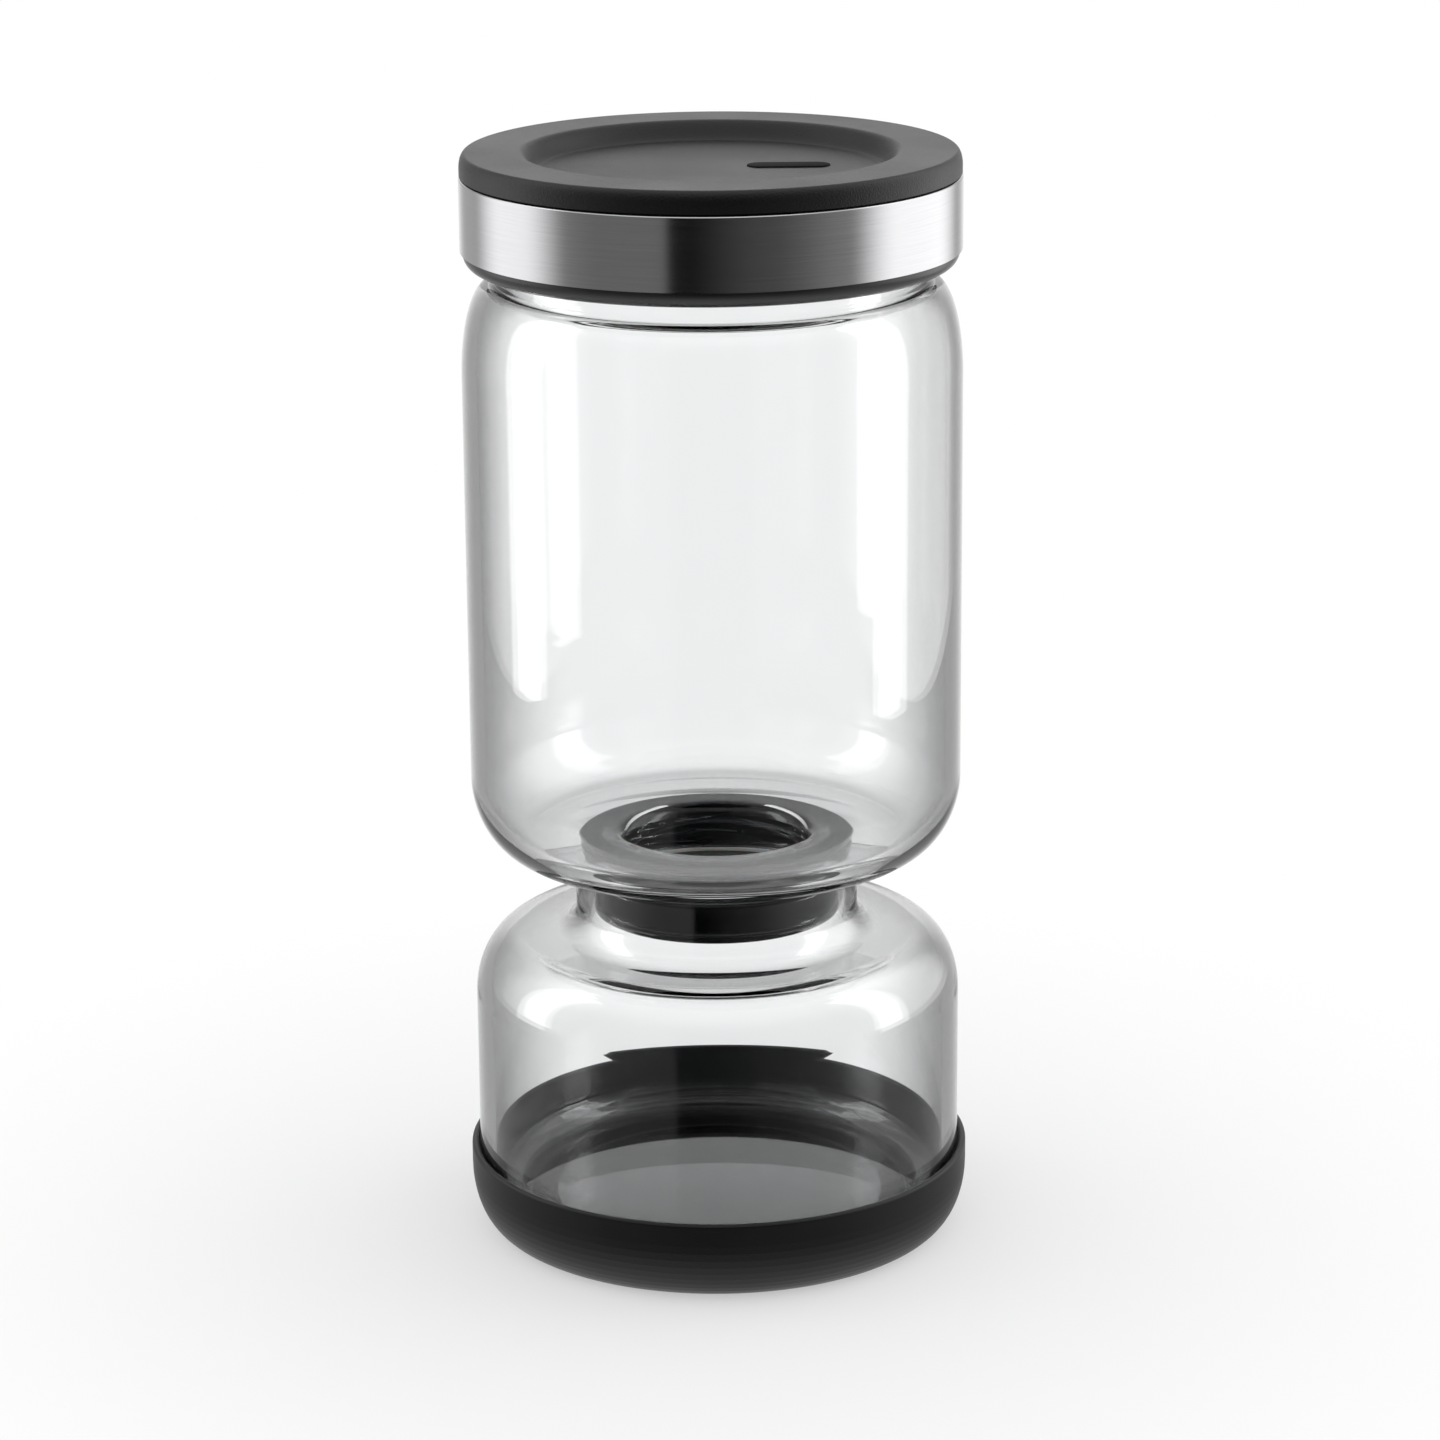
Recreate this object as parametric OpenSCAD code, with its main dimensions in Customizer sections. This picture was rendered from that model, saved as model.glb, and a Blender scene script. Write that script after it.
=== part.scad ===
// Turn-over pickle keeper: a tall upper jar is screwed into a coupling with a strainer,
// and the coupling plugs into the mouth of a squat lower jar that stands in a soft foot.
// What is kept stays in the upper jar, and turning the keeper over drains it or soaks it again.
// Millimetres, +Z up, with the origin in the middle of the face that the keeper stands on.

/* [Upper jar] */
// Outer radius of the upper jar
upper_r = 50; // [48:0.5:54]
// Height from the underside of the upper jar to its rim, without the neck
upper_h = 133.5; // [115:0.5:150]
// Width of the rounded heel under the upper jar
heel_w = 12; // [8:0.5:14]
// Height of the rounded heel under the upper jar
heel_h = 16; // [10:0.5:20]
// Height of the curved shoulder under the mouth
shoulder_h = 18.2; // [14:0.2:24]
// Outer radius of the mouth
mouth_r = 43.2; // [42:0.1:44.4]
// Height of the straight mouth that the lid screws on to
mouth_h = 15; // [14:0.5:20]
// Radius of the bore through the neck under the upper jar
neck_bore_r = 18.4; // [15:0.2:18.8]
// Length of the neck under the upper jar
neck_len = 8.7; // [7.7:0.1:9]

/* [Lower jar] */
// Outer radius of the lower jar
lower_r = 49.8; // [47:0.1:52]
// Height of the lower jar from its base to its rim
lower_h = 74; // [66:0.5:90]
// Radius of the corner round its base
base_round = 9; // [6:0.5:10]
// Height of the hollow pushed up under its base
punt_h = 1.6; // [0.6:0.1:2]
// Width of the domed shoulder
dome_w = 10; // [8:0.5:11]
// Height of the domed shoulder
dome_h = 13.4; // [10:0.2:16]
// Height of the mouth above the domed shoulder
lower_neck_h = 13.7; // [12.8:0.1:16]

/* [Glass] */
// Thickness of the walls of both jars
glass_wall = 3; // [2.4:0.1:3.4]
// Thickness of the floors of both jars
glass_floor = 4; // [3:0.1:5]
// Thickness of the glass round both narrow mouths
neck_wall = 2.8; // [2.4:0.1:3]
// Fillet where a mouth leaves its shoulder
mouth_fillet = 1.5; // [1:0.1:2]
// Fillet where the lower mouth leaves the dome
dome_fillet = 5; // [3:0.5:5]
// Rounding of the glass rims
rim_round = 0.8; // [0.4:0.1:1.1]

/* [Coupling] */
// Room between the neck and the coupling for the screw thread
thread_room = 1.7; // [1.5:0.1:1.8]
// Thickness of the spigot that carries the strainer
spigot_wall = 1.3; // [1:0.1:1.6]
// Extra thickness of the skirt above the spigot
skirt_step = 0.4; // [0.2:0.1:0.6]
// Thickness of the flange between the two jars
flange_t = 2.1; // [1.6:0.1:3]
// Thickness of the ledge that the neck seal lies on
ledge_t = 1.4; // [1:0.1:2]
// Thickness of the neck seal
neck_seal_t = 1.2; // [0.8:0.1:1.6]
// Thickness of the coupling seal on the lower rim
rim_seal_t = 1.4; // [1:0.1:2]
// Length of the coupling seal inside the lower mouth
seal_sleeve_h = 1.8; // [1.2:0.1:2.2]
// How far the rib of the coupling seal stands out
seal_rib = 0.5; // [0.3:0.05:0.6]
// Clearance between the rib and the lower mouth
plug_fit = 0.2; // [0.1:0.05:0.4]

/* [Strainer] */
// Thickness of the strainer's plate
plate_t = 1.6; // [1:0.1:2]
// Thickness of the strainer's rim
strainer_wall = 1.1; // [0.8:0.1:1.3]
// Clearance between the strainer's rim and the spigot
strainer_fit = 0.2; // [0.1:0.05:0.3]
// Gap between the strainer's plate and the end of the spigot
plate_gap = 0.6; // [0.3:0.1:1]
// Diameter of a strainer hole
hole_d = 2.6; // [1.6:0.1:3]
// Distance from one ring of holes to the next
hole_pitch = 4; // [3.6:0.1:5]

/* [Lid] */
// Room between the mouth and the lid for the screw thread
lid_thread_room = 1.8; // [1.5:0.1:2]
// Gap between the lid's lower edge and the jar's shoulder
lid_gap = 2.3; // [0.8:0.1:3]
// Thickness of the lid seal
lid_seal_t = 1.8; // [1:0.1:2.5]
// Thickness of the cap's deck over the seal
deck_t = 2.7; // [1.6:0.1:4]
// Thickness of the cap's wall inside the band
cap_wall = 4.15; // [3.2:0.05:4.6]
// Height of the lip that shows under the band
lip_h = 3.2; // [2.4:0.1:5]
// How far the lip stands out over the cap's wall
lip_step = 0.15; // [0.1:0.05:0.3]
// Thickness of the steel band
band_t = 0.6; // [0.4:0.05:0.9]
// Clearance between the band and the cap
band_fit = 0.05; // [0.03:0.01:0.1]
// Width of the band's flange, turned in under the cover
band_flange_w = 2.2; // [1.4:0.1:2.4]
// Height of the cover above the cap's deck
cover_h = 5.3; // [4.4:0.1:7]
// Thickness of the cover
cover_t = 1.6; // [1.2:0.1:2]
// How far the cover's side lies inside the band's face
cover_inset = 0.15; // [0.1:0.05:0.8]
// Radius of the flat floor of the dish in the cover
dish_r = 33.5; // [28:0.5:35]
// Width of the curved side of the dish
dish_side = 4.5; // [3.5:0.5:6]

/* [Foot] */
// Thickness of the foot's floor
foot_floor = 3; // [2:0.1:4]
// Height of the foot cup
foot_h = 17.1; // [14:0.1:24]
// Thickness of the foot's side
foot_wall = 1.4; // [1:0.1:2.5]
// Clearance between the foot and the lower jar
foot_fit = 0.3; // [0.2:0.05:0.5]
// Width of the rounding round the foot
foot_round_w = 6.5; // [4:0.5:8]
// Height of the rounding round the foot
foot_round_h = 12.4; // [8:0.2:13]
// Depth of the hollow under the foot
foot_hollow = 0.6; // [0.3:0.1:1.2]

/* [Hidden] */
$fn = 120;
ARC = 12;                                  // straight steps in a drawn curve
running_gap = 0.3;                         // between pieces that slide past each other
edge_gap = 0.15;                           // between the band and what it fits round
cover_gap = 0.3;                           // shadow line between the cover and the band
small_edge = 0.4;                          // rounding of small plastic and rubber edges
cap_chamfer = 0.6;                         // chamfers inside the cap
seal_fit = 0.05;                           // between the coupling's skirt and its seal
plate_root = 0.8;                          // fillet between the strainer's plate and rim
hole_margin = 0.8;                         // from the outer holes to the edge of the bore
rest_ring_w = 7;                           // width of the rings that the jar and the foot stand on
pad_inset = 1.8;                           // from the foot's pad to the end of the jar's flat ring

// heights, from the foot up
lower_z = foot_floor;
lower_rim_z = lower_z + lower_h;
flange_z = lower_rim_z + rim_seal_t;
upper_z = flange_z + flange_t;
neck_end_z = upper_z - neck_len;
ledge_z = neck_end_z - neck_seal_t;
spigot_end_z = ledge_z - ledge_t;
plate_top_z = spigot_end_z - plate_gap;
plate_z = plate_top_z - plate_t;
sleeve_end_z = lower_rim_z - seal_sleeve_h;
strainer_rim_z = sleeve_end_z - running_gap;
rim_z = upper_z + upper_h;
lip_z = rim_z - mouth_h + lid_gap;
band_z = lip_z + lip_h;
deck_under_z = rim_z + lid_seal_t;
deck_z = deck_under_z + deck_t;
band_top_z = deck_z + band_t;
lid_top_z = deck_z + cover_h;

// radii at the waist, from the bore out
neck_r = neck_bore_r + neck_wall;
coupling_bore_r = neck_r + thread_room;
spigot_r = coupling_bore_r + spigot_wall;
skirt_r = spigot_r + skirt_step;
strainer_bore_r = spigot_r + strainer_fit;
strainer_r = strainer_bore_r + strainer_wall;
sleeve_r = strainer_r - 0.1;
lower_mouth_r = sleeve_r + seal_rib + plug_fit;
lower_neck_r = lower_mouth_r + neck_wall;
flange_r = lower_neck_r - running_gap;

// radii at the foot and at the lid
foot_bore_r = lower_r + foot_fit;
foot_r = foot_bore_r + foot_wall;
mouth_bore_r = mouth_r - glass_wall;
cap_bore_r = mouth_r + lid_thread_room;
cap_r = cap_bore_r + cap_wall;
band_bore_r = cap_r + band_fit;
band_r = band_bore_r + band_t;
cover_r = band_r - cover_inset;
spigot_ring_r = band_r - band_flange_w - edge_gap;

// Points on an elliptical arc about c, with radii r, from angle a0 to angle a1.
function arc(c, r, a0, a1, n = ARC) =
    [for (i = [0:n]) let (a = a0 + (a1 - a0) * i / n) [c[0] + r[0] * cos(a), c[1] + r[1] * sin(a)]];

// Points round the outward corner p with radii e, over the quarter turn that starts at a0.
function corner(p, e, a0, n = 4) =
    arc([p[0] - e[0] * sign(cos(a0 + 45)), p[1] - e[1] * sign(sin(a0 + 45))], e, a0, a0 + 90, n);

// Points on an S-curve from p to q that leaves p and reaches q level.
function s_curve(p, q, n = ARC) =
    [for (i = [0:n]) let (t = i / n, s = (1 - cos(180 * t)) / 2)
        [p[0] + (q[0] - p[0]) * t, p[1] + (q[1] - p[1]) * s]];

// Points on a shallow bowl of depth h about the axis, from radius r0 to radius r1.
function bowl(r0, r1, z, h) =
    let (r_max = max(r0, r1))
    [for (i = [0:ARC]) let (r = r0 + (r1 - r0) * i / ARC) [r, z + h * (1 - pow(r / r_max, 2))]];

// A flat ring from r0 to r1 and from z0 to z1, with its four edges rounded.
module ring(r0, r1, z0, z1, edge) {
    e = [edge, edge];
    rotate_extrude()
        polygon(concat(corner([r0, z0], e, 180), corner([r1, z0], e, 270),
                       corner([r1, z1], e, 0), corner([r0, z1], e, 90)));
}

// Soft cup round the base of the lower jar. The jar stands on a low pad in its floor, and
// its side hugs the glass with a small clearance. A shallow hollow leaves a ring to stand on.
module foot_cup() {
    hollow_r = foot_r - foot_round_w - rest_ring_w;
    pad_r = lower_r - base_round - pad_inset;
    seat_round = base_round + foot_fit;
    lip = [foot_wall / 2, foot_wall / 2];
    color([0.11, 0.11, 0.115])
        rotate_extrude()
            polygon(concat(
                [[0, foot_hollow], [hollow_r, foot_hollow], [hollow_r + foot_hollow, 0]],
                corner([foot_r, 0], [foot_round_w, foot_round_h], 270, ARC),
                corner([foot_r, foot_h], lip, 0),
                corner([foot_bore_r, foot_h], lip, 90),
                arc([lower_r - base_round, lower_z + base_round], [seat_round, seat_round], 0, -90),
                [[pad_r + foot_fit, lower_z - foot_fit], [pad_r, lower_z], [0, lower_z]]));
}

// Squat glass jar with a rounded base, a domed shoulder and a narrow mouth.
module lower_jar() {
    dome_top_z = lower_rim_z - lower_neck_h;
    dome_z = dome_top_z - dome_h;
    dome_x = lower_r - dome_w;
    neck_x = lower_neck_r + dome_fillet;
    fillet_z = dome_top_z + dome_fillet;
    inner_fillet = dome_fillet + neck_wall;
    base_x = lower_r - base_round;
    base_z = lower_z + base_round;
    punt_r = base_x - rest_ring_w;
    rim_edge = [rim_round, rim_round];
    color([0.86, 0.92, 0.92, 0.35])
        rotate_extrude()
            polygon(concat(
                bowl(0, punt_r, lower_z, punt_h),
                arc([base_x, base_z], [base_round, base_round], 270, 360),
                arc([dome_x, dome_z], [dome_w, dome_h], 0, 90),
                arc([neck_x, fillet_z], [dome_fillet, dome_fillet], 270, 180, 8),
                corner([lower_neck_r, lower_rim_z], rim_edge, 0),
                corner([lower_mouth_r, lower_rim_z], rim_edge, 90),
                arc([neck_x, fillet_z], [inner_fillet, inner_fillet], 180, 270, 8),
                arc([dome_x, dome_z], [dome_w - glass_wall, dome_h - glass_wall], 90, 0),
                arc([base_x, base_z], [base_round - glass_wall, base_round - glass_floor], 360, 270),
                bowl(base_x, 0, lower_z + glass_floor, punt_h / 2)));
}

// Rigid collar between the jars: a flange, a bore with room for the neck's thread, and an
// inward ledge at the bottom that the neck seal lies on. The strainer clips on its spigot.
module coupling() {
    lead_in = 0.8;
    color([0.035, 0.035, 0.04])
        rotate_extrude()
            polygon(concat(
                [[neck_bore_r, spigot_end_z]],
                corner([spigot_r, spigot_end_z], [small_edge, small_edge], 270),
                [[spigot_r, sleeve_end_z], [skirt_r, sleeve_end_z],
                 [skirt_r, flange_z], [flange_r, flange_z]],
                corner([flange_r, upper_z], [small_edge, small_edge], 0),
                [[coupling_bore_r + lead_in, upper_z], [coupling_bore_r, upper_z - lead_in],
                 [coupling_bore_r, ledge_z], [neck_bore_r, ledge_z]]));
}

// Soft ring under the flange: it lies on the lower rim, and its sleeve and rib seal the mouth.
module coupling_seal() {
    bore_r = skirt_r + seal_fit;
    rib_z = sleeve_end_z + seal_sleeve_h / 2;
    rib = [seal_rib, seal_sleeve_h / 3];
    color([0.05, 0.05, 0.055])
        rotate_extrude()
            polygon(concat(
                [[bore_r, sleeve_end_z], [sleeve_r, sleeve_end_z]],
                arc([sleeve_r, rib_z], rib, 270, 450, 8),
                [[sleeve_r, lower_rim_z]],
                corner([flange_r, lower_rim_z], [small_edge, small_edge], 270),
                [[flange_r, flange_z], [bore_r, flange_z]]));
}

// Strainer: a cup that pushes on to the spigot from below, with rings of holes in its plate.
module strainer() {
    nose = [2.2, 3];                           // the rounded lower edge
    rim_edge = [strainer_wall / 3, strainer_wall / 3];
    inner_x = strainer_bore_r - plate_root;
    holes_r = neck_bore_r - hole_d / 2 - hole_margin;
    rings = floor(holes_r / hole_pitch);
    color([0.03, 0.03, 0.035])
        difference() {
            rotate_extrude()
                polygon(concat(
                    [[0, plate_z]],
                    corner([strainer_r, plate_z], nose, 270, ARC),
                    corner([strainer_r, strainer_rim_z], rim_edge, 0),
                    corner([strainer_bore_r, strainer_rim_z], rim_edge, 90),
                    arc([inner_x, plate_top_z + plate_root], [plate_root, plate_root], 0, -90, 4),
                    [[0, plate_top_z]]));
            for (k = [0:rings])
                for (i = [0:max(1, 6 * k) - 1])
                    rotate(k == 0 ? 0 : 360 * i / (6 * k))
                        translate([k * hole_pitch, 0, plate_z - 1])
                            cylinder(d = hole_d, h = plate_t + 2, $fn = 24);
        }
}

// Flat washer between the neck and the coupling's ledge.
module neck_seal() {
    color([0.6, 0.6, 0.6])
        ring(neck_bore_r + running_gap, coupling_bore_r - running_gap, ledge_z, neck_end_z, small_edge / 2);
}

// Tall glass jar: a straight wall, a rounded heel, a narrow neck below and a wide mouth above.
module upper_jar() {
    heel_x = upper_r - heel_w;
    heel_z = upper_z + heel_h;
    fillet_z = rim_z - mouth_h;
    shoulder_x = mouth_r + mouth_fillet;
    shoulder_z = fillet_z - mouth_fillet - shoulder_h;
    shoulder_w = upper_r - shoulder_x;
    roll = 2;                                  // the bore of the mouth rolls over into the shoulder
    roll_x = mouth_bore_r + roll;
    inner_w = upper_r - glass_wall - roll_x;
    inner_h = shoulder_h - roll;
    drain_round = 3;                           // the floor rolls over into the neck
    drain_z = upper_z + glass_floor - 1;       // the floor falls a little towards the neck
    rim_edge = [rim_round, rim_round];
    color([0.86, 0.92, 0.92, 0.35])
        rotate_extrude()
            polygon(concat(
                corner([neck_bore_r, neck_end_z], rim_edge, 180),
                corner([neck_r, neck_end_z], rim_edge, 270),
                [[neck_r, upper_z]],
                arc([heel_x, heel_z], [heel_w, heel_h], 270, 360, 16),
                arc([shoulder_x, shoulder_z], [shoulder_w, shoulder_h], 0, 90, 16),
                arc([shoulder_x, fillet_z], [mouth_fillet, mouth_fillet], 270, 180, 6),
                corner([mouth_r, rim_z], rim_edge, 0),
                corner([mouth_bore_r, rim_z], rim_edge, 90),
                arc([roll_x, shoulder_z + inner_h + roll], [roll, roll], 180, 270, 6),
                arc([roll_x, shoulder_z], [inner_w, inner_h], 90, 0, 16),
                arc([heel_x, heel_z], [heel_w - glass_wall, heel_h - glass_floor], 360, 270, 16),
                corner([neck_bore_r, drain_z], [drain_round, drain_round], 90, 6)));
}

// Flat gasket in the cap that the rim of the upper jar presses on.
module lid_seal() {
    seal_r = cap_bore_r - cap_chamfer - running_gap;
    color([0.75, 0.75, 0.73])
        ring(mouth_bore_r - small_edge, seal_r, rim_z, deck_under_z, small_edge);
}

// Inner cap of the lid: a skirt with room for the thread, a rounded lip that shows under the
// band, and a deck over the mouth.
module lid_cap() {
    lip = [2.4, lip_h - edge_gap];
    lip_r = cap_r + lip_step;
    color([0.045, 0.045, 0.05])
        rotate_extrude()
            polygon(concat(
                [[0, deck_under_z], [cap_bore_r - cap_chamfer, deck_under_z],
                 [cap_bore_r, deck_under_z - cap_chamfer],
                 [cap_bore_r, lip_z + cap_chamfer], [cap_bore_r + cap_chamfer, lip_z]],
                corner([lip_r, lip_z], lip, 270, ARC),
                [[cap_r, band_z - edge_gap], [cap_r, deck_z], [0, deck_z]]));
}

// Steel band round the cap: its upper edge is turned in and held between deck and cover.
module lid_band() {
    bend = [band_t * 0.8, band_t * 0.8];
    flange_in_r = band_r - band_flange_w;
    color([0.72, 0.72, 0.73])
        rotate_extrude()
            polygon(concat(
                [[band_bore_r, band_z], [band_r, band_z]],
                corner([band_r, band_top_z], bend, 0),
                [[flange_in_r, band_top_z], [flange_in_r, deck_z], [band_bore_r, deck_z]]));
}

// Soft-touch cover with a dished top. Its spigot ring stands on the deck inside the band.
module lid_cover() {
    edge = [1.3, 2.9];
    skin_z = lid_top_z - cover_t;
    floor_z = deck_z + cover_t;
    dish_top_r = dish_r + dish_side;
    ring_in_r = spigot_ring_r - cover_t;
    color([0.13, 0.13, 0.135])
        rotate_extrude()
            polygon(concat(
                [[0, deck_z]],
                s_curve([dish_r + 1, deck_z], [dish_top_r + 1, skin_z]),
                [[ring_in_r, skin_z], [ring_in_r, deck_z], [spigot_ring_r, deck_z],
                 [spigot_ring_r, band_top_z + cover_gap], [cover_r, band_top_z + cover_gap]],
                corner([cover_r, lid_top_z], edge, 0, ARC),
                s_curve([dish_top_r, lid_top_z], [dish_r, floor_z]),
                [[0, floor_z]]));
}

foot_cup();
lower_jar();
coupling();
coupling_seal();
strainer();
neck_seal();
upper_jar();
lid_seal();
lid_cap();
lid_band();
lid_cover();
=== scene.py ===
"""Turn-over keeper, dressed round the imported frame: two clear glass jars with their screw threads,
a steel-banded lid, a glossy coupling and strainer, and a soft foot. Sizes are millimetres, turned to
metres where a mesh is made."""
import math

import bmesh
import bpy
from mathutils import Euler, Matrix, Vector


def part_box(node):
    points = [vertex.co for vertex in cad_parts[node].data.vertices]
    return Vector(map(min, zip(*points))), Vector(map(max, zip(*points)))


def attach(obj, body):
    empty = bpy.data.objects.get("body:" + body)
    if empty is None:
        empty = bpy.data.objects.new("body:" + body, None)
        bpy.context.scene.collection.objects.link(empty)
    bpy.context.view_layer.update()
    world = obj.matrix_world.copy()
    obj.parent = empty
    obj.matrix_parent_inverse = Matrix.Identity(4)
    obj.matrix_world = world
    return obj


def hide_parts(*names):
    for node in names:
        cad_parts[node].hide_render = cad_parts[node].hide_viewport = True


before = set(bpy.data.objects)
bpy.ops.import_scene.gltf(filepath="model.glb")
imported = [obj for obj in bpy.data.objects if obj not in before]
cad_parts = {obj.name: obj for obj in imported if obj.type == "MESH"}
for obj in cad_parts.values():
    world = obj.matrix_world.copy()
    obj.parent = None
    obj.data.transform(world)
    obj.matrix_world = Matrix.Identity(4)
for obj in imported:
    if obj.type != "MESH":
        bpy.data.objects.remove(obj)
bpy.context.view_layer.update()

MM = 0.001
AXIS = (0, 0, 1)
FULL_TURN = 2 * math.pi
TURN_STEPS = 160                  # steps round a turned piece
ARC_STEPS = 20                    # steps in a drawn arc
CORNER_STEPS = 8                  # steps round a small corner or fillet
MERGE = 0.002                     # points nearer than this are one


# ---------------------------------------------------------------- sizes

def low(node):
    """Height of a CAD node's underside, in mm."""
    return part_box(node)[0].z / MM


def high(node):
    """Height of a CAD node's top, in mm."""
    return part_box(node)[1].z / MM


def reach(node):
    """Outer radius of a CAD node, in mm."""
    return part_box(node)[1].x / MM


# from the frame
LOWER_Z, LOWER_RIM_Z, LOWER_R = low("lower_jar"), high("lower_jar"), reach("lower_jar")
NECK_END_Z, RIM_Z, UPPER_R = low("upper_jar"), high("upper_jar"), reach("upper_jar")
UPPER_Z = high("coupling")
COVER_WALL = 1.6                           # as in the part's source, like the sizes of both jars
DISH_FLOOR_Z = low("lid_cover") + COVER_WALL

# glass
GLASS_WALL = 3
GLASS_FLOOR = 4
NECK_WALL = 2.8
RIM_ROUND = 0.8

# upper jar
HEEL_W, HEEL_H = 12, 16
SHOULDER_H = 18.2
MOUTH_R, MOUTH_H = 43.2, 15
MOUTH_FILLET = 1.5
MOUTH_BORE_R = MOUTH_R - GLASS_WALL
NECK_BORE_R = 18.4
NECK_R = NECK_BORE_R + NECK_WALL
MOUTH_ROLL = 2
DRAIN_ROUND = 3
FLOOR_FALL = 1                             # how far the floor falls towards the neck
DRAIN_Z = UPPER_Z + GLASS_FLOOR - FLOOR_FALL

# lower jar
BASE_ROUND = 9
PUNT_H = 1.6
REST_RING_W = 7
DOME_W, DOME_H = 10, 13.4
DOME_FILLET = 5
LOWER_NECK_H = 13.7
LOWER_MOUTH_R = 26.1
LOWER_NECK_R = LOWER_MOUTH_R + NECK_WALL

# screw threads, both right-handed
COUPLING_BORE_R = 22.9
CAP_BORE_R = 45
THREAD_DEPTH = 1.2
THREAD_ROOT, THREAD_CREST = 0.65, 0.25     # half widths
THREAD_SINK = 0.05                         # how far a thread is let into its wall
THREAD_FADE = 1 / 8                        # share of its height over which each end rises
THREAD_TIP, THREAD_LEAST = 0.05, 0.02      # shares of its depth at an end, and past it
THREAD_SHARP = 70                          # degrees from which an edge of a thread is a hard line
NECK_LEAD, NECK_STARTS = 6, 2
NECK_THREAD = (NECK_END_Z + 1.1, UPPER_Z - 1.2)
MOUTH_LEAD, MOUTH_STARTS = 12, 4
MOUTH_THREAD = (RIM_Z - 11.4, RIM_Z - 1.6)
CAP_THREAD = (RIM_Z - 11, RIM_Z - 0.5)

# bare plate in the dish; its darker, duller finish is painted shade of a recessed slot
PLATE_L, PLATE_W = 16.5, 5.6
PLATE_AT = (15.4, 2.0)
PLATE_SINK, PLATE_RISE = 0.3, 0.25         # below and above the dish's floor
PLATE_EDGE = 0.18
PLATE_END_STEPS = 48


# ---------------------------------------------------------------- mesh tools

def arc(cx, cz, rx, rz, start, end, steps=ARC_STEPS):
    """Points on an elliptical arc about (cx, cz), from angle start to angle end in degrees."""
    angles = [math.radians(start + (end - start) * i / steps) for i in range(steps + 1)]
    return [(cx + rx * math.cos(a), cz + rz * math.sin(a)) for a in angles]


def corner(x, z, radius, start):
    """Points round the outward corner (x, z), over the quarter turn that starts at angle start."""
    middle = math.radians(start + 45)
    cx = x - math.copysign(radius, math.cos(middle))
    cz = z - math.copysign(radius, math.sin(middle))
    return arc(cx, cz, radius, radius, start, start + 90, CORNER_STEPS)


def low_dome(r0, r1, z, height):
    """Points on a shallow dome about the axis, from radius r0 to radius r1. It is height above z on
    the axis, and at z at the larger radius."""
    widest = max(r0, r1)
    radii = [r0 + (r1 - r0) * i / ARC_STEPS for i in range(ARC_STEPS + 1)]
    return [(r, z + height * (1 - (r / widest) ** 2)) for r in radii]


def object_from(name, bm, sharp_angle=40):
    """Makes a smooth-shaded object of bm, with hard lines at its sharper edges."""
    for face in bm.faces:
        face.smooth = True
    for edge in bm.edges:
        if len(edge.link_faces) == 2:
            edge.smooth = edge.calc_face_angle(0) < math.radians(sharp_angle)
    mesh = bpy.data.meshes.new(name)
    bm.to_mesh(mesh)
    bm.free()
    piece = bpy.data.objects.new(name, mesh)
    bpy.context.scene.collection.objects.link(piece)
    return piece


def turned(name, outline, closed=True):
    """An outline of (radius, height) points, turned about the upright axis. An open outline
    starts and ends on the axis."""
    bm = bmesh.new()
    points = [bm.verts.new((r * MM, 0, z * MM)) for r, z in outline]
    pairs = list(zip(points, points[1:]))
    if closed:
        pairs.append((points[-1], points[0]))
    edges = [bm.edges.new(pair) for pair in pairs]
    bmesh.ops.spin(bm, geom=points + edges, cent=(0, 0, 0), axis=AXIS, angle=FULL_TURN,
                   steps=TURN_STEPS, use_merge=True)
    bmesh.ops.remove_doubles(bm, verts=bm.verts, dist=MERGE * MM)
    bmesh.ops.recalc_face_normals(bm, faces=bm.faces)
    return object_from(name, bm)


def screw_thread(name, root_r, depth, heights, lead, starts, phase=0.0):
    """Helical ridges between two heights. depth is positive on a neck and negative in a bore."""
    z0, z1 = heights
    turns = (z1 - z0) / lead
    steps = round(turns * TURN_STEPS)
    sink = -math.copysign(THREAD_SINK, depth)
    section = [(root_r + sink, -THREAD_ROOT), (root_r + depth, -THREAD_CREST),
               (root_r + depth, THREAD_CREST), (root_r + sink, THREAD_ROOT)]
    rise = (0, 0, (z1 - z0) * MM / steps)
    bm = bmesh.new()
    for start in range(starts):
        first = Matrix.Rotation(FULL_TURN * start / starts + phase, 4, "Z")
        points = [bm.verts.new(first @ Vector((r * MM, 0, (z0 + dz) * MM))) for r, dz in section]
        edges = [bm.edges.new((a, b)) for a, b in zip(points, points[1:] + points[:1])]
        before = set(bm.verts)
        spun = bmesh.ops.spin(bm, geom=points + edges, cent=(0, 0, 0), axis=AXIS, dvec=rise,
                              angle=turns * FULL_TURN, steps=steps)
        last = [v for v in spun["geom_last"] if isinstance(v, bmesh.types.BMVert)]
        bm.faces.new(points)
        bmesh.ops.contextual_create(bm, geom=last)
        fade_ends(points + [v for v in bm.verts if v not in before], root_r + sink, z0, z1)
    bmesh.ops.recalc_face_normals(bm, faces=bm.faces)
    return object_from(name, bm, THREAD_SHARP)


def fade_ends(points, root_r, z0, z1):
    """Lets both ends of a thread rise out of its wall."""
    for v in points:
        share = (v.co.z / MM - z0) / (z1 - z0)
        height = min(1, max(THREAD_LEAST, min(share, 1 - share) / THREAD_FADE + THREAD_TIP))
        r = math.hypot(v.co.x, v.co.y) / MM
        scale = (root_r + (r - root_r) * height) / r
        v.co.x *= scale
        v.co.y *= scale


# ---------------------------------------------------------------- shader tools

def socket_in(node, name):
    """An input of a node by name, the one in use where several share it."""
    return next(s for s in node.inputs if s.name == name and s.enabled)


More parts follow.
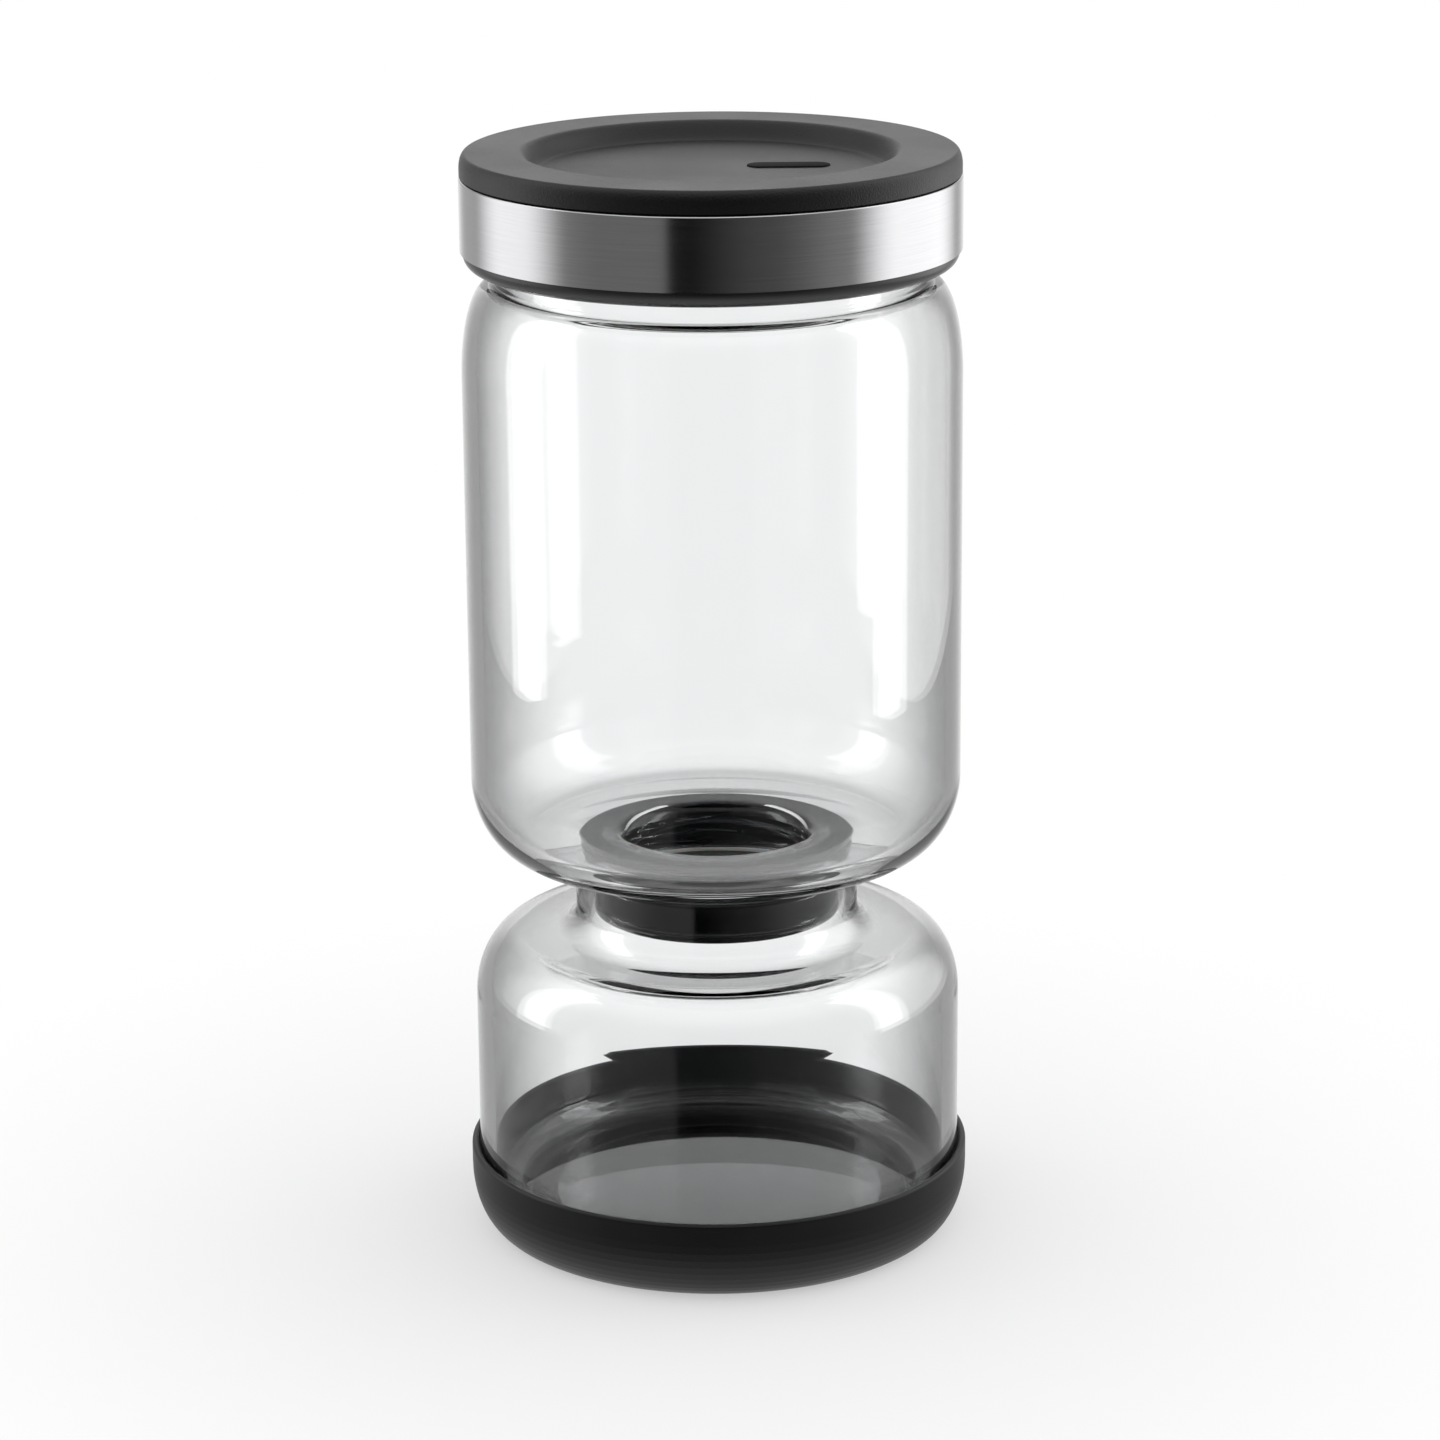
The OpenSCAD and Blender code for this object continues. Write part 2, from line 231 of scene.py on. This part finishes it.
def socket_out(node):
    """The output of a node that is in use."""
    return next(s for s in node.outputs if s.enabled)


class Nodes:
    """A node tree. add() makes a node, sets its inputs and links it up."""

    def __init__(self, tree):
        self.tree = tree

    def add(self, kind, settings=None, **inputs):
        node = self.tree.nodes.new(kind)
        for key, value in (settings or {}).items():
            setattr(node, key, value)
        for key, value in inputs.items():
            self.feed(value, socket_in(node, key.replace("_", " ")))
        return node

    def feed(self, value, target):
        """Links a socket to an input, or sets the input to a plain value."""
        if isinstance(value, bpy.types.NodeSocket):
            self.tree.links.new(value, target)
        else:
            target.default_value = value

    def math(self, operation, a, b=0.0, clamp=False):
        node = self.add("ShaderNodeMath", {"operation": operation, "use_clamp": clamp})
        self.feed(a, node.inputs[0])
        self.feed(b, node.inputs[1])
        return node.outputs[0]

    def ramp(self, source, *stops):
        """A colour for each value of source, from (value, colour) stops in rising order."""
        node = self.add("ShaderNodeValToRGB", Fac=source)
        marks = node.color_ramp.elements
        for i, (position, colour) in enumerate(stops):
            mark = marks[i] if i < 2 else marks.new(position)
            mark.position = position
            mark.color = (*colour, 1)
        return node.outputs["Color"]

    def range(self, source, low_out, high_out, low_in=0.0, high_in=1.0, smooth=False):
        """Goes from low_out to high_out while source goes from low_in to high_in, and stops there."""
        kind = "SMOOTHSTEP" if smooth else "LINEAR"
        node = self.add("ShaderNodeMapRange", {"interpolation_type": kind}, Value=source)
        node.inputs["From Min"].default_value = low_in
        node.inputs["From Max"].default_value = high_in
        node.inputs["To Min"].default_value = low_out
        node.inputs["To Max"].default_value = high_out
        return node.outputs["Result"]

    def mix_shaders(self, share, first, second):
        """The first shader where share is 0, and the second where it is 1."""
        node = self.add("ShaderNodeMixShader", Fac=share)
        self.tree.links.new(first, node.inputs[1])
        self.tree.links.new(second, node.inputs[2])
        return node.outputs["Shader"]

    def seen(self):
        """1 for a ray of the camera, of metal or of glass, and 0 for one that only lights the keeper."""
        path = self.add("ShaderNodeLightPath").outputs
        looked = self.math("ADD", path["Is Camera Ray"], path["Is Glossy Ray"])
        looked = self.math("ADD", looked, path["Is Transmission Ray"], clamp=True)
        return self.math("SUBTRACT", looked, path["Diffuse Depth"], clamp=True)

    def mirrored(self):
        """1 for a ray that something has mirrored on its way."""
        return self.math("MINIMUM", self.add("ShaderNodeLightPath").outputs["Glossy Depth"], 1)


class Shader(Nodes):
    """A material with one Principled BSDF."""

    def __init__(self, name, **plain):
        self.material = bpy.data.materials.new(name)
        self.material.use_nodes = True
        super().__init__(self.material.node_tree)
        self.bsdf = self.tree.nodes["Principled BSDF"]
        self.surface = self.tree.nodes["Material Output"].inputs["Surface"]
        self.place = self.add("ShaderNodeTexCoord").outputs["Object"]
        for key, value in plain.items():
            self.bsdf.inputs[key.replace("_", " ")].default_value = value

    def link(self, source, name):
        self.tree.links.new(source, self.bsdf.inputs[name])

    def noise(self, scale, detail=2.0, rough=0.5, stretch=(1, 1, 1)):
        mapping = self.add("ShaderNodeMapping", Vector=self.place, Scale=stretch)
        node = self.add("ShaderNodeTexNoise", Vector=mapping.outputs["Vector"], Scale=scale,
                        Detail=detail, Roughness=rough)
        return node.outputs["Fac"]

    def bump(self, height, strength, distance):
        node = self.add("ShaderNodeBump", Height=height, Strength=strength, Distance=distance)
        self.link(node.outputs["Normal"], "Normal")

    def group(self, tree, **inputs):
        return self.add("ShaderNodeGroup", {"node_tree": tree}, **inputs)


def moulded_surface_group():
    """Fine grain of a moulded surface, and broad faint smears on it."""
    tree = bpy.data.node_groups.new("moulded surface", "ShaderNodeTree")
    for name in ("Grain Size", "Smear Size"):
        tree.interface.new_socket(name, in_out="INPUT", socket_type="NodeSocketFloat")
    for name in ("Grain", "Smear"):
        tree.interface.new_socket(name, in_out="OUTPUT", socket_type="NodeSocketFloat")
    nodes = Nodes(tree)
    sizes = nodes.add("NodeGroupInput")
    results = nodes.add("NodeGroupOutput")
    place = nodes.add("ShaderNodeTexCoord").outputs["Object"]
    for size, name, detail in (("Grain Size", "Grain", 3), ("Smear Size", "Smear", 5)):
        scale = nodes.math("DIVIDE", 1, sizes.outputs[size])
        texture = nodes.add("ShaderNodeTexNoise", Vector=place, Scale=scale, Detail=detail)
        nodes.feed(texture.outputs["Fac"], results.inputs[name])
    return tree


MOULDED = moulded_surface_group()


# ---------------------------------------------------------------- materials of the keeper

SMEARS = (0.3, 0.7)               # the noise between which a smear goes from nothing to full
SMEAR_SIZE = 28
GRAIN_DEPTH = 0.1


def moulded(name, dark, light, rough, rough_spread, grain, strength, specular=0.5, coat=0.0):
    """Black plastic or silicone: grain of a size and strength, and smears that change its colour
    and gloss a little."""
    shader = Shader(name, Specular_IOR_Level=specular, Coat_Weight=coat, Coat_Roughness=0.08)
    surface = shader.group(MOULDED, Grain_Size=grain * MM, Smear_Size=SMEAR_SIZE * MM)
    smear = surface.outputs["Smear"]
    shader.link(shader.ramp(smear, (SMEARS[0], dark), (SMEARS[1], light)), "Base Color")
    shader.link(shader.range(smear, rough - rough_spread, rough + rough_spread, *SMEARS), "Roughness")
    shader.bump(surface.outputs["Grain"], strength, GRAIN_DEPTH * MM)
    return shader.material


# painted shade: how pale the glass's colour is made, from seen straight on (0) to seen edge on (1),
# greying at the edges in place of the dark surroundings seen there
GLASS_PAINTED_EDGE_SHADE = ((0.0, 0.995), (0.25, 0.975), (0.33, 0.90), (0.42, 0.76), (0.5, 0.62), (0.62, 0.46),
               (0.75, 0.32), (1.0, 0.20))
GLASS_TINT = (0.992, 0.998, 1)


def jar_glass():
    """Clear glass. Lamps shine through it, and its colour is painted greyer where it is seen edge on, a
    painted shade in place of the dark surroundings seen in its edges.
    """
    shader = Shader("jar glass", Roughness=0.0, IOR=1.47, Transmission_Weight=1.0)
    edge_on = shader.add("ShaderNodeLayerWeight", Blend=0.5).outputs["Facing"]
    stops = [(at, [grey * part for part in GLASS_TINT]) for at, grey in GLASS_PAINTED_EDGE_SHADE]
    # painted shade: the glass's base colour greys as it is seen more edge on
    shader.link(shader.ramp(edge_on, *stops), "Base Color")
    shader.bump(shader.noise(scale=26, detail=1.5), strength=0.05, distance=0.6 * MM)
    path = shader.add("ShaderNodeLightPath")
    through = shader.add("ShaderNodeBsdfTransparent", Color=(0.94, 0.95, 0.95, 1))
    shader.feed(shader.mix_shaders(path.outputs["Is Shadow Ray"], shader.bsdf.outputs["BSDF"],
                                   through.outputs["BSDF"]), shader.surface)
    return shader.material


def band_steel():
    """Stainless steel with a fine brush that runs round the band."""
    shader = Shader("band steel", Metallic=1.0, Anisotropic=0.75, Anisotropic_Rotation=0.25)
    lines = shader.noise(scale=55, detail=4, rough=0.65, stretch=(1, 1, 130))
    cloud = shader.noise(scale=30)
    tangent = shader.add("ShaderNodeTangent", {"direction_type": "RADIAL", "axis": "Z"})
    shader.link(tangent.outputs["Tangent"], "Tangent")
    shader.link(shader.ramp(lines, (0.2, (0.53, 0.53, 0.54)), (0.8, (0.62, 0.62, 0.63))), "Base Color")
    rough = shader.math("ADD", shader.range(lines, 0.12, 0.2), shader.range(cloud, 0.0, 0.06))
    shader.link(rough, "Roughness")
    shader.bump(lines, strength=0.10, distance=0.02 * MM)
    return shader.material


def clear_silicone():
    """Milky silicone of the two gaskets."""
    shader = Shader("clear silicone", Roughness=0.42, IOR=1.41, Subsurface_Weight=0.6,
                    Subsurface_Scale=1.5 * MM)
    surface = shader.group(MOULDED, Grain_Size=0.5 * MM, Smear_Size=9 * MM)
    dark, light = (0.56, 0.56, 0.53), (0.68, 0.68, 0.65)
    milk = shader.ramp(surface.outputs["Smear"], (SMEARS[0], dark), (SMEARS[1], light))
    shader.link(milk, "Base Color")
    shader.bump(surface.outputs["Grain"], strength=0.1, distance=GRAIN_DEPTH * MM)
    return shader.material


GLASS = jar_glass()
CLEAR_SILICONE = clear_silicone()
# painted shade: the plate is darker and less glossy than the cover, so that it reads as the shade of a
# recessed slot
PLATE_MATT_PAINTED_SHADE = moulded("plate matt painted shade", (0.002, 0.002, 0.002), (0.003, 0.003, 0.003), rough=0.7,
                     rough_spread=0.05, grain=0.5, strength=0.1, specular=0.1)
FINISHES = {
    "foot_cup": moulded("foot silicone", (0.0025, 0.0025, 0.003), (0.0045, 0.0045, 0.005), rough=0.43,
                        rough_spread=0.04, grain=0.35, strength=0.22, specular=0.4),
    "coupling": moulded("coupling gloss", (0.006, 0.0065, 0.008), (0.009, 0.0095, 0.011), rough=0.10,
                        rough_spread=0.03, grain=2.5, strength=0.015, coat=0.3),
    "coupling_seal": moulded("coupling seal silicone", (0.010, 0.010, 0.011), (0.015, 0.015, 0.016),
                             rough=0.38, rough_spread=0.05, grain=0.5, strength=0.15),
    "strainer": moulded("strainer gloss", (0.005, 0.0055, 0.007), (0.008, 0.0085, 0.010), rough=0.09,
                        rough_spread=0.03, grain=2.0, strength=0.015, coat=0.4),
    "neck_seal": CLEAR_SILICONE,
    "lid_seal": CLEAR_SILICONE,
    "lid_cap": moulded("cap satin", (0.009, 0.009, 0.010), (0.014, 0.014, 0.015), rough=0.27,
                       rough_spread=0.04, grain=0.8, strength=0.06),
    "lid_band": band_steel(),
    "lid_cover": moulded("cover soft touch", (0.004, 0.004, 0.0045), (0.007, 0.007, 0.0075), rough=0.38,
                         rough_spread=0.04, grain=0.35, strength=0.85, specular=0.4),
}


def dress(node, material):
    """Gives a CAD node its material."""
    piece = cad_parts[node]
    if not piece.material_slots:
        piece.data.materials.append(material)
    for slot in piece.material_slots:
        slot.material = material


# ---------------------------------------------------------------- the keeper's own pieces

def lower_jar_outline():
    """The lower jar's section, from the hollow under its base round the outside and back inside."""
    dome_top = LOWER_RIM_Z - LOWER_NECK_H
    dome_z, dome_x = dome_top - DOME_H, LOWER_R - DOME_W
    neck_x, fillet_z = LOWER_NECK_R + DOME_FILLET, dome_top + DOME_FILLET
    inner_fillet = DOME_FILLET + NECK_WALL
    base_x, base_z = LOWER_R - BASE_ROUND, LOWER_Z + BASE_ROUND
    inner_base = (BASE_ROUND - GLASS_WALL, BASE_ROUND - GLASS_FLOOR)
    return (low_dome(0, base_x - REST_RING_W, LOWER_Z, PUNT_H)
            + arc(base_x, base_z, BASE_ROUND, BASE_ROUND, 270, 360)
            + arc(dome_x, dome_z, DOME_W, DOME_H, 0, 90)
            + arc(neck_x, fillet_z, DOME_FILLET, DOME_FILLET, 270, 180)
            + corner(LOWER_NECK_R, LOWER_RIM_Z, RIM_ROUND, 0)
            + corner(LOWER_MOUTH_R, LOWER_RIM_Z, RIM_ROUND, 90)
            + arc(neck_x, fillet_z, inner_fillet, inner_fillet, 180, 270)
            + arc(dome_x, dome_z, DOME_W - GLASS_WALL, DOME_H - GLASS_WALL, 90, 0)
            + arc(base_x, base_z, *inner_base, 360, 270)
            + low_dome(base_x, 0, LOWER_Z + GLASS_FLOOR, PUNT_H / 2)[1:])


def upper_jar_outline():
    """The upper jar's section, from the end of its neck round the outside and back inside."""
    heel_x, heel_z = UPPER_R - HEEL_W, UPPER_Z + HEEL_H
    fillet_z, shoulder_x = RIM_Z - MOUTH_H, MOUTH_R + MOUTH_FILLET
    shoulder_z = fillet_z - MOUTH_FILLET - SHOULDER_H
    roll_x = MOUTH_BORE_R + MOUTH_ROLL
    inner_w, inner_h = UPPER_R - GLASS_WALL - roll_x, SHOULDER_H - MOUTH_ROLL
    return (corner(NECK_BORE_R, NECK_END_Z, RIM_ROUND, 180)
            + corner(NECK_R, NECK_END_Z, RIM_ROUND, 270)
            + [(NECK_R, UPPER_Z)]
            + arc(heel_x, heel_z, HEEL_W, HEEL_H, 270, 360)
            + arc(shoulder_x, shoulder_z, UPPER_R - shoulder_x, SHOULDER_H, 0, 90)
            + arc(shoulder_x, fillet_z, MOUTH_FILLET, MOUTH_FILLET, 270, 180, CORNER_STEPS)
            + corner(MOUTH_R, RIM_Z, RIM_ROUND, 0)
            + corner(MOUTH_BORE_R, RIM_Z, RIM_ROUND, 90)
            + arc(roll_x, shoulder_z + SHOULDER_H, MOUTH_ROLL, MOUTH_ROLL, 180, 270, CORNER_STEPS)
            + arc(roll_x, shoulder_z, inner_w, inner_h, 90, 0)
            + arc(heel_x, heel_z, HEEL_W - GLASS_WALL, HEEL_H - GLASS_FLOOR, 360, 270)
            + corner(NECK_BORE_R, DRAIN_Z, DRAIN_ROUND, 90))


def dish_plate():
    """A bare plate with round ends, let into the floor of the cover's dish."""
    under = Vector((*PLATE_AT, DISH_FLOOR_Z - PLATE_SINK)) * MM
    to_end = Vector(((PLATE_L - PLATE_W) / 2 * MM, 0, 0))
    bm = bmesh.new()
    for side in (-1, 1):
        bmesh.ops.create_circle(bm, segments=PLATE_END_STEPS, radius=PLATE_W / 2 * MM,
                                matrix=Matrix.Translation(under + side * to_end))
    bmesh.ops.convex_hull(bm, input=bm.verts)
    bmesh.ops.delete(bm, geom=[e for e in bm.edges if not e.link_faces], context="EDGES")
    bmesh.ops.dissolve_limit(bm, angle_limit=math.radians(1), verts=bm.verts, edges=bm.edges)
    top = bmesh.ops.extrude_face_region(bm, geom=bm.faces[:])
    lifted = [v for v in top["geom"] if isinstance(v, bmesh.types.BMVert)]
    bmesh.ops.translate(bm, vec=(0, 0, (PLATE_SINK + PLATE_RISE) * MM), verts=lifted)
    rim = [e for e in bm.edges if all(v in lifted for v in e.verts)]
    bmesh.ops.bevel(bm, geom=rim, offset=PLATE_EDGE * MM, offset_type="OFFSET", affect="EDGES",
                    segments=3, profile=0.5, material=-1)
    bmesh.ops.recalc_face_normals(bm, faces=bm.faces)
    return object_from("dish_plate", bm)


def finish_piece(piece, body, material):
    """A new piece of the keeper gets its material and the body that it moves with."""
    piece.data.materials.append(material)
    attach(piece, body)
    return piece


def make_keeper():
    """Dresses the CAD nodes, adds the pieces that only the look needs, and returns the glass ones."""
    for node, material in FINISHES.items():
        dress(node, material)
    glass = []
    for node, outline in (("lower_jar", lower_jar_outline()), ("upper_jar", upper_jar_outline())):
        jar = turned(node + "_glass", outline, closed=node == "upper_jar")
        finish_piece(jar, node, GLASS)
        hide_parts(node)
        glass.append(jar)
    neck = screw_thread("neck_thread", NECK_R, THREAD_DEPTH, NECK_THREAD, NECK_LEAD, NECK_STARTS)
    glass.append(finish_piece(neck, "upper_jar", GLASS))
    mouth = screw_thread("mouth_thread", MOUTH_R, THREAD_DEPTH, MOUTH_THREAD, MOUTH_LEAD, MOUTH_STARTS)
    glass.append(finish_piece(mouth, "upper_jar", GLASS))
    bore = screw_thread("coupling_thread", COUPLING_BORE_R, -THREAD_DEPTH, NECK_THREAD, NECK_LEAD,
                        NECK_STARTS, phase=math.pi / NECK_STARTS)
    finish_piece(bore, "coupling", FINISHES["coupling"])
    finish_piece(dish_plate(), "lid", PLATE_MATT_PAINTED_SHADE)
    cap = screw_thread("cap_thread", CAP_BORE_R, -THREAD_DEPTH, CAP_THREAD, MOUTH_LEAD, MOUTH_STARTS,
                       phase=math.pi / MOUTH_STARTS)
    finish_piece(cap, "lid", FINISHES["lid_cap"])
    return glass


# ---------------------------------------------------------------- studio

# the camera: where it stands, and how many degrees it looks down and to the right and leans
CAMERA_PLACE = (0, -908.7, 370.4)
CAMERA_DOWN, CAMERA_ASIDE, CAMERA_ROLL = 16.18, 0.06, -0.47
CAMERA_LENS = 116.04

# how bright the studio is round the keeper: (degrees from the camera's side, brightness)
SURROUND = [(-180, 0.50), (-140, 0.50), (-125, 0.42), (-75, 0.30), (-62, 0.22), (-54, 0.19), (-21, 0.19),
            (-19, 0.001), (-8, 0.001), (0, 0.018), (15, 0.06), (31, 0.09), (42, 0.14), (54, 0.22),
            (75, 0.32), (125, 0.42), (143, 0.50), (180, 0.50)]
CARDS_END = (150, 172)            # where the cards fade into the backdrop, in degrees
STEEP = (0.4, 0.85)               # sines of how steeply the walls start and end to fade into the ceiling
CEILING = 1.0

SOFTBOX_H = 620
FLOOR_R, FLOOR_STEPS = 6000, 96
GLOW = (50, 220)                  # how far from the axis the floor's glow starts to grow and is full
GLOW_LEAST = 0.5


def make_camera():
    """The camera, where the photograph was taken from."""
    data = bpy.data.cameras.new("camera")
    data.lens = CAMERA_LENS
    camera = bpy.data.objects.new("camera", data)
    bpy.context.scene.collection.objects.link(camera)
    turn = Euler((math.radians(90 - CAMERA_DOWN), 0, math.radians(-CAMERA_ASIDE))).to_matrix()
    turn = turn @ Matrix.Rotation(math.radians(CAMERA_ROLL), 3, "Z")
    camera.matrix_world = Matrix.Translation(Vector(CAMERA_PLACE) * MM) @ turn.to_4x4()
    bpy.context.scene.camera = camera


def softbox(name, azimuth, distance, width, brightness, edge):
    """An upright soft light beside the keeper, turned to its axis, that fades towards its sides from
    edge, the share of its half width, outwards. The camera never sees it."""
    data = bpy.data.lights.new(name, "AREA")
    data.shape = "RECTANGLE"
    data.size, data.size_y = width * MM, SOFTBOX_H * MM
    data.energy = math.pi * data.size * data.size_y    # so that its strength is its brightness
    data.use_nodes = True
    nodes = Nodes(data.node_tree)
    face = nodes.add("ShaderNodeNewGeometry").outputs["Parametric"]
    across = nodes.add("ShaderNodeSeparateXYZ", Vector=face).outputs["X"]
    aside = nodes.math("ABSOLUTE", nodes.math("SUBTRACT", across, 0.5))
    strength = nodes.range(nodes.math("MULTIPLY", aside, 2), brightness, 0, edge, 1, smooth=True)
    nodes.feed(strength, data.node_tree.nodes["Emission"].inputs["Strength"])
    lamp = bpy.data.objects.new(name, data)
    bpy.context.scene.collection.objects.link(lamp)
    outward = Vector((math.sin(math.radians(azimuth)), -math.cos(math.radians(azimuth)), 0))
    lamp.location = outward * distance * MM + Vector((0, 0, SOFTBOX_H / 2 * MM))
    lamp.rotation_euler = (-outward).to_track_quat("-Z", "Y").to_euler()
    lamp.visible_camera = False
    return lamp


def light_only(lamp, pieces):
    """Turns a lamp on some pieces alone, as a grid in front of it does in a studio."""
    lit = bpy.data.collections.new(lamp.name + "_lit")
    for piece in pieces:
        lit.objects.link(piece)
    lamp.light_linking.receiver_collection = lit


def make_floor():
    """A plain pale floor that keeps a soft shadow of the keeper. What is mirrored shows the studio
    instead, as if the floor ended in front of its cards."""
    bm = bmesh.new()
    bmesh.ops.create_circle(bm, cap_ends=True, cap_tris=True, segments=FLOOR_STEPS, radius=FLOOR_R * MM)
    floor = object_from("floor", bm)
    shader = Shader("pale floor", Base_Color=(0.9, 0.9, 0.9, 1), Roughness=0.9, Specular_IOR_Level=0.0)
    glow = shader.add("ShaderNodeEmission", Color=(1, 1, 1, 1), Strength=1.0)
    far = shader.add("ShaderNodeVectorMath", {"operation": "LENGTH"}, Vector=shader.place)
    share = shader.range(far.outputs["Value"], GLOW_LEAST, 1, *[r * MM for r in GLOW], smooth=True)
    share = shader.math("MULTIPLY", share, shader.seen())
    pale = shader.mix_shaders(share, shader.bsdf.outputs["BSDF"], glow.outputs["Emission"])
    gone = shader.add("ShaderNodeBsdfTransparent").outputs["BSDF"]
    shader.feed(shader.mix_shaders(shader.mirrored(), pale, gone), shader.surface)
    floor.data.materials.append(shader.material)


def make_world():
    """A white backdrop for what is seen, and a soft studio for what lights the keeper. The studio's
    dark and grey cards, round its front and sides, show only in what is mirrored."""
    world = bpy.data.worlds.new("studio")
    bpy.context.scene.world = world
    world.use_nodes = True
    nodes = Nodes(world.node_tree)
    towards = nodes.add("ShaderNodeTexCoord").outputs["Generated"]
    towards = nodes.add("ShaderNodeSeparateXYZ", Vector=towards).outputs
    azimuth = nodes.math("ARCTAN2", towards["X"], nodes.math("MULTIPLY", towards["Y"], -1))
    share = nodes.range(azimuth, 0, 1, -math.pi, math.pi)
    walls = nodes.ramp(share, *[((at + 180) / 360, (b, b, b)) for at, b in SURROUND])
    steep = nodes.range(nodes.math("ABSOLUTE", towards["Z"]), 0, 1, *STEEP, smooth=True)
    light = nodes.add("ShaderNodeMix", {"data_type": "RGBA"}, Factor=steep, A=walls,
                      B=(CEILING, CEILING, CEILING, 1))
    studio = nodes.add("ShaderNodeBackground", Color=socket_out(light), Strength=1.0)
    backdrop = nodes.add("ShaderNodeBackground", Color=(1, 1, 1, 1), Strength=1.0)
    aside = nodes.math("ABSOLUTE", azimuth)
    cards = nodes.range(aside, 1, 0, *[math.radians(at) for at in CARDS_END], smooth=True)
    cards = nodes.math("MULTIPLY", cards, nodes.mirrored())
    white = nodes.math("SUBTRACT", nodes.seen(), cards, clamp=True)
    world_light = nodes.mix_shaders(white, studio.outputs["Background"], backdrop.outputs["Background"])
    nodes.feed(world_light, world.node_tree.nodes["World Output"].inputs["Surface"])


def make_studio(glass_pieces):
    """Two soft boxes light everything, and two narrow strips show in the glass alone."""
    make_world()
    make_floor()
    softbox("left_softbox", azimuth=-98, distance=450, width=584, brightness=1.1, edge=0.2)
    softbox("right_softbox", azimuth=104, distance=430, width=760, brightness=1.25, edge=0.3)
    for strip in (softbox("left_strip", azimuth=-93, distance=440, width=170, brightness=3, edge=0.75),
                  softbox("right_strip", azimuth=86, distance=420, width=150, brightness=3, edge=0.75)):
        light_only(strip, glass_pieces)
    bpy.context.scene.view_settings.view_transform = "Standard"


make_studio(make_keeper())
make_camera()
